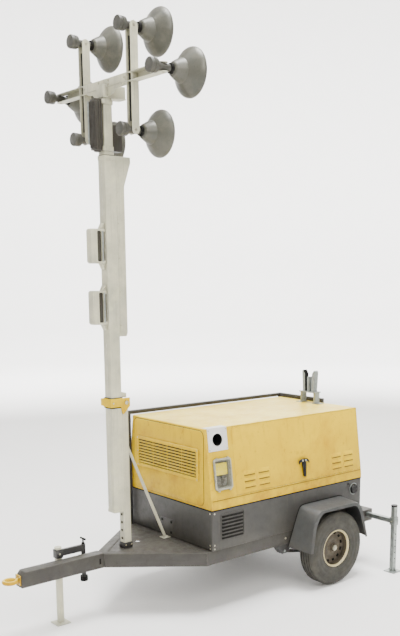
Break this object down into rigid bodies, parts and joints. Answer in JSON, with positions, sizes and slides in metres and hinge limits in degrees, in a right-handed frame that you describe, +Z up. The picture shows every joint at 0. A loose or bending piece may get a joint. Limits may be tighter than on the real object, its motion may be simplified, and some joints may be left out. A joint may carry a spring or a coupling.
{
  "type": "towable light tower with diesel generator",
  "caption": "Single-axle trailer with a canopied diesel generator, a mast that telescopes and folds down, and round floodlights, standing on extendable legs.",
  "frame": {"origin": "on the ground, at the middle of the object's length and width, with its stands out and its mast upright", "axes": "+X to the rear of the trailer, -Y to the side with the door and the controls, +Z up"},
  "size_m": [3.28, 1.78, 4.32],
  "materials": {
    "frame_paint": "satin, dusty",
    "yellow_paint": "satin, weathered",
    "base_paint": "satin, dusty",
    "fender_plastic": "matte grained",
    "mast_paint": "satin pale grey",
    "zinc": "hot-dip galvanised",
    "dark_paint": "satin dark grey",
    "tyre_rubber": "dusty rubber",
    "rim_paint": "brown-grey, dusty",
    "lamp_paint": "weathered warm grey",
    "black_plastic": "matte black",
    "grey_plastic": "semi-gloss grey",
    "clear_plastic": "clear moulded lid",
    "lens_glass": "clear toughened glass",
    "iron": "painted casting"
  },
  "bodies": {
    "trailer": {"chassis_frame": "frame_paint", "drawbar": "frame_paint", "tow_eye": "yellow_paint", "axle_beam": "dark_paint", "fender_near": "fender_plastic", "fender_far": "fender_plastic", "lower_body": "base_paint", "canopy_shell": "yellow_paint", "front_grille": "yellow_paint", "exhaust_outlet": "zinc", "control_window_frame": "grey_plastic", "mast_rest_frame": "dark_paint", "mast_cradle": "zinc", "engine": "iron", "alternator": "base_paint", "radiator": "dark_paint", "fuel_tank": "black_plastic", "mast_post": "mast_paint", "mast_brace": "mast_paint"},
    "wheel_near": {"tyre_near": "tyre_rubber", "rim_near": "rim_paint"},
    "wheel_far": {"tyre_far": "tyre_rubber", "rim_far": "rim_paint"},
    "prop_arm": {"prop_arm": "dark_paint"},
    "prop_leg": {"prop_leg": "mast_paint"},
    "outrigger_arm_near": {"outrigger_arm_near": "zinc"},
    "outrigger_arm_far": {"outrigger_arm_far": "zinc"},
    "outrigger_leg_near": {"outrigger_leg_near": "zinc"},
    "outrigger_leg_far": {"outrigger_leg_far": "zinc"},
    "door": {"side_door": "yellow_paint"},
    "latch": {"door_latch": "black_plastic"},
    "window_lid": {"control_window_lid": "clear_plastic"},
    "fuel_cap": {"fuel_cap": "black_plastic"},
    "mast_lower": {"mast_outer": "mast_paint", "cable_duct": "mast_paint", "cable_hanger_lower": "mast_paint", "cable_hanger_upper": "mast_paint", "pivot_collar": "yellow_paint"},
    "mast_middle": {"mast_middle": "mast_paint"},
    "mast_upper": {"mast_top": "mast_paint", "junction_box": "rim_paint", "lamp_frame": "mast_paint"},
    "lamp_top_near": {"lamp_holder_top_near": "lamp_paint", "lamp_bell_top_near": "lamp_paint", "lamp_lens_top_near": "lens_glass"},
    "lamp_side_near": {"lamp_holder_side_near": "lamp_paint", "lamp_bell_side_near": "lamp_paint", "lamp_lens_side_near": "lens_glass"},
    "lamp_low_near": {"lamp_holder_low_near": "lamp_paint", "lamp_bell_low_near": "lamp_paint", "lamp_lens_low_near": "lens_glass"},
    "lamp_top_far": {"lamp_holder_top_far": "lamp_paint", "lamp_bell_top_far": "lamp_paint", "lamp_lens_top_far": "lens_glass"},
    "lamp_side_far": {"lamp_holder_side_far": "lamp_paint", "lamp_bell_side_far": "lamp_paint", "lamp_lens_side_far": "lens_glass"},
    "lamp_low_far": {"lamp_holder_low_far": "lamp_paint", "lamp_bell_low_far": "lamp_paint", "lamp_lens_low_far": "lens_glass"}
  },
  "joints": [
    {"name": "wheel_spin_near", "type": "hinge", "parent": "trailer", "child": "wheel_near", "pos_m": [0.971, -0.6545, 0.31], "axis": [0, 1, 0], "continuous": true},
    {"name": "wheel_spin_far", "type": "hinge", "parent": "trailer", "child": "wheel_far", "pos_m": [0.971, 0.6545, 0.31], "axis": [0, 1, 0], "continuous": true},
    {"name": "prop_swing", "type": "hinge", "parent": "trailer", "child": "prop_arm", "pos_m": [-0.95, 0.085, 0.44], "axis": [0, 0, -1], "range_deg": [0, 90]},
    {"name": "prop_lift", "type": "slide", "parent": "prop_arm", "child": "prop_leg", "axis": [0, 0, 1], "range_m": [0, 0.25]},
    {"name": "outrigger_slide_near", "type": "slide", "parent": "trailer", "child": "outrigger_arm_near", "axis": [0, 1, 0], "range_m": [0, 0.27]},
    {"name": "outrigger_slide_far", "type": "slide", "parent": "trailer", "child": "outrigger_arm_far", "axis": [0, -1, 0], "range_m": [0, 0.27]},
    {"name": "outrigger_lift_near", "type": "slide", "parent": "outrigger_arm_near", "child": "outrigger_leg_near", "axis": [0, 0, 1], "range_m": [0, 0.25]},
    {"name": "outrigger_lift_far", "type": "slide", "parent": "outrigger_arm_far", "child": "outrigger_leg_far", "axis": [0, 0, 1], "range_m": [0, 0.25]},
    {"name": "door_hinge", "type": "hinge", "parent": "trailer", "child": "door", "pos_m": [0.74, -0.47626, 1.40971], "axis": [-1, 0, 0], "range_deg": [0, 75]},
    {"name": "latch_turn", "type": "hinge", "parent": "door", "child": "latch", "pos_m": [0.755, -0.54949, 0.94585], "axis": [0, -0.9909, 0.1349], "range_deg": [0, 90]},
    {"name": "window_hinge", "type": "hinge", "parent": "trailer", "child": "window_lid", "pos_m": [-0.098, -0.51987, 1.19311], "axis": [-1, 0, 0], "range_deg": [0, 110]},
    {"name": "fuel_cap_turn", "type": "hinge", "parent": "trailer", "child": "fuel_cap", "pos_m": [1.364, -0.547, 0.724], "axis": [0, 1, 0], "range_deg": [0, 90]},
    {"name": "mast_tilt", "type": "hinge", "parent": "trailer", "child": "mast_lower", "pos_m": [-0.625, 0, 1.615], "axis": [0, 1, 0], "range_deg": [0, 90]},
    {"name": "mast_middle_slide", "type": "slide", "parent": "mast_lower", "child": "mast_middle", "axis": [0, 0, 1], "range_m": [0, 2]},
    {"name": "mast_top_slide", "type": "slide", "parent": "mast_middle", "child": "mast_upper", "axis": [0, 0, 1], "range_m": [0, 2]},
    {"name": "lamp_tilt_top_near", "type": "hinge", "parent": "mast_upper", "child": "lamp_top_near", "pos_m": [-0.675, -0.3, 4.16], "axis": [0, 1, 0], "range_deg": [-25, 25]},
    {"name": "lamp_tilt_side_near", "type": "hinge", "parent": "mast_upper", "child": "lamp_side_near", "pos_m": [-0.675, -0.65, 3.84], "axis": [0, 0, 1], "range_deg": [-25, 25]},
    {"name": "lamp_tilt_low_near", "type": "hinge", "parent": "mast_upper", "child": "lamp_low_near", "pos_m": [-0.675, -0.3, 3.5], "axis": [0, 1, 0], "range_deg": [-25, 25]},
    {"name": "lamp_tilt_top_far", "type": "hinge", "parent": "mast_upper", "child": "lamp_top_far", "pos_m": [-0.675, 0.3, 4.16], "axis": [0, 1, 0], "range_deg": [-25, 25]},
    {"name": "lamp_tilt_side_far", "type": "hinge", "parent": "mast_upper", "child": "lamp_side_far", "pos_m": [-0.675, 0.65, 3.84], "axis": [0, 0, 1], "range_deg": [-25, 25]},
    {"name": "lamp_tilt_low_far", "type": "hinge", "parent": "mast_upper", "child": "lamp_low_far", "pos_m": [-0.675, 0.3, 3.5], "axis": [0, 1, 0], "range_deg": [-25, 25]}
  ],
  "couplings": [
    {"joint": "mast_top_slide", "follows": "mast_middle_slide", "ratio": 1}
  ]
}
